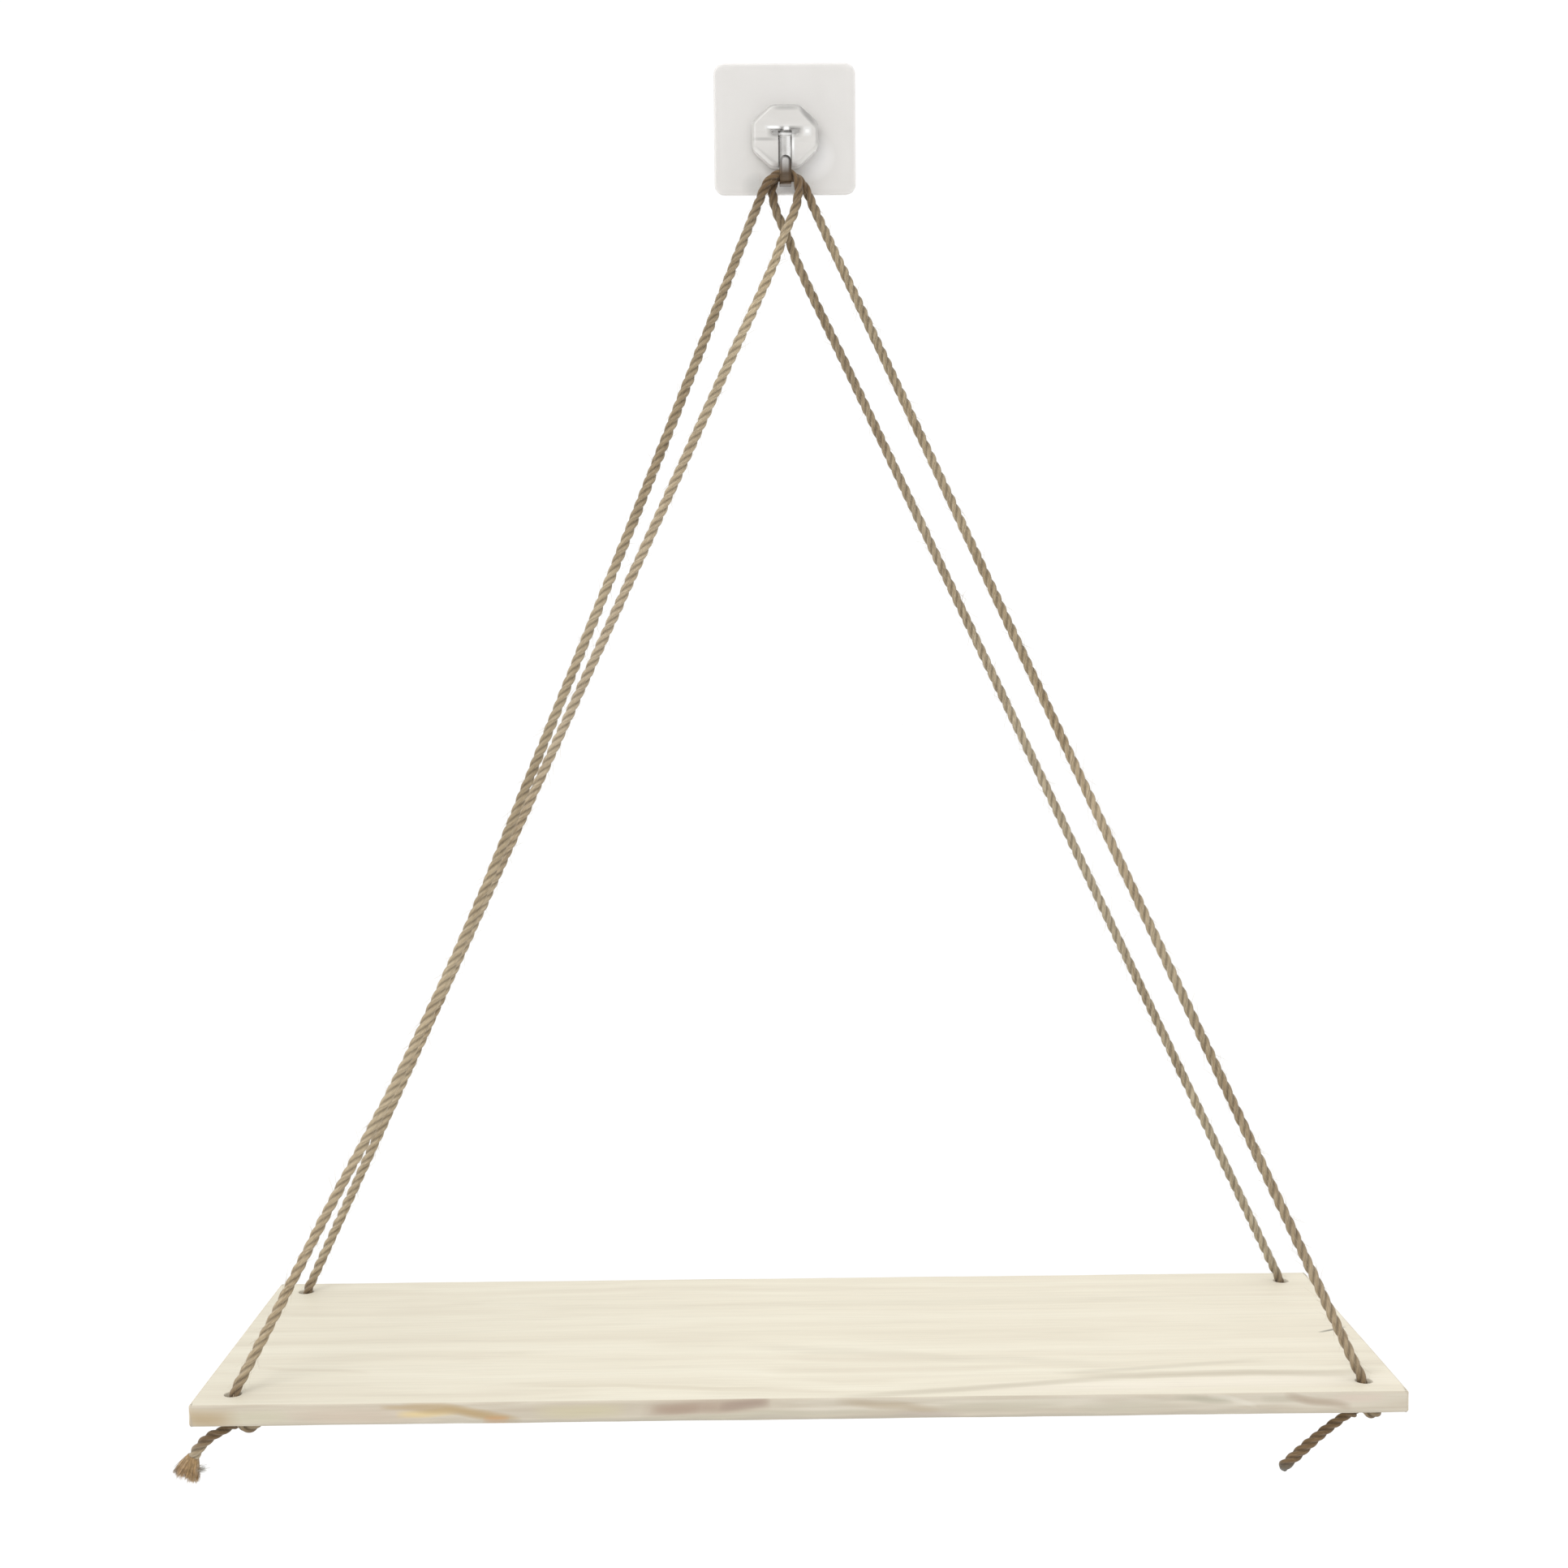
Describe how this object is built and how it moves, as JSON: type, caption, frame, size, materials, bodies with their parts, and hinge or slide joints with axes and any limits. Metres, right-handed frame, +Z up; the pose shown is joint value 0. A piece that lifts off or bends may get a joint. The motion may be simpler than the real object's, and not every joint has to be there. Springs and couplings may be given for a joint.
{
  "type": "hanging rope shelf",
  "caption": "Pale wooden board slung on two knotted jute ropes from a steel hook in a clear octagonal hub on a square adhesive wall pad.",
  "frame": {"origin": "centre of the adhesive pad's back face, on the wall", "axes": "+Z up the wall, +Y into the wall, the room towards -Y, +X to the shelf's right end as seen from the room"},
  "size_m": [0.4584, 0.1505, 0.5581],
  "materials": {
    "adhesive": "soft clear adhesive layer",
    "clear_plastic": "clear smooth plastic with a warm grey cast",
    "steel": "polished stainless strip",
    "pale_wood": "bare planed pale wood, lengthwise grain",
    "jute": "twisted three-strand jute with loose fibres"
  },
  "bodies": {
    "root": {"adhesive_film": "adhesive", "clear_pad": "clear_plastic", "hook_hub": "clear_plastic"},
    "hook": {"steel_hook": "steel"},
    "sling": {"shelf_board": "pale_wood", "left_rope": "jute", "right_rope": "jute", "left_front_knot": "jute", "left_rear_knot": "jute", "right_front_knot": "jute", "right_rear_knot": "jute", "left_frayed_end": "jute"}
  },
  "joints": [
    {"name": "hook_hinge", "type": "hinge", "parent": "root", "child": "hook", "pos_m": [0, -0.0056, -0.0029], "axis": [-1, 0, 0], "range_deg": [0, 90]},
    {"name": "sling_swing", "type": "hinge", "parent": "hook", "child": "sling", "pos_m": [0, -0.01065, -0.0249], "axis": [0, 1, 0], "range_deg": [-15, 15]}
  ]
}
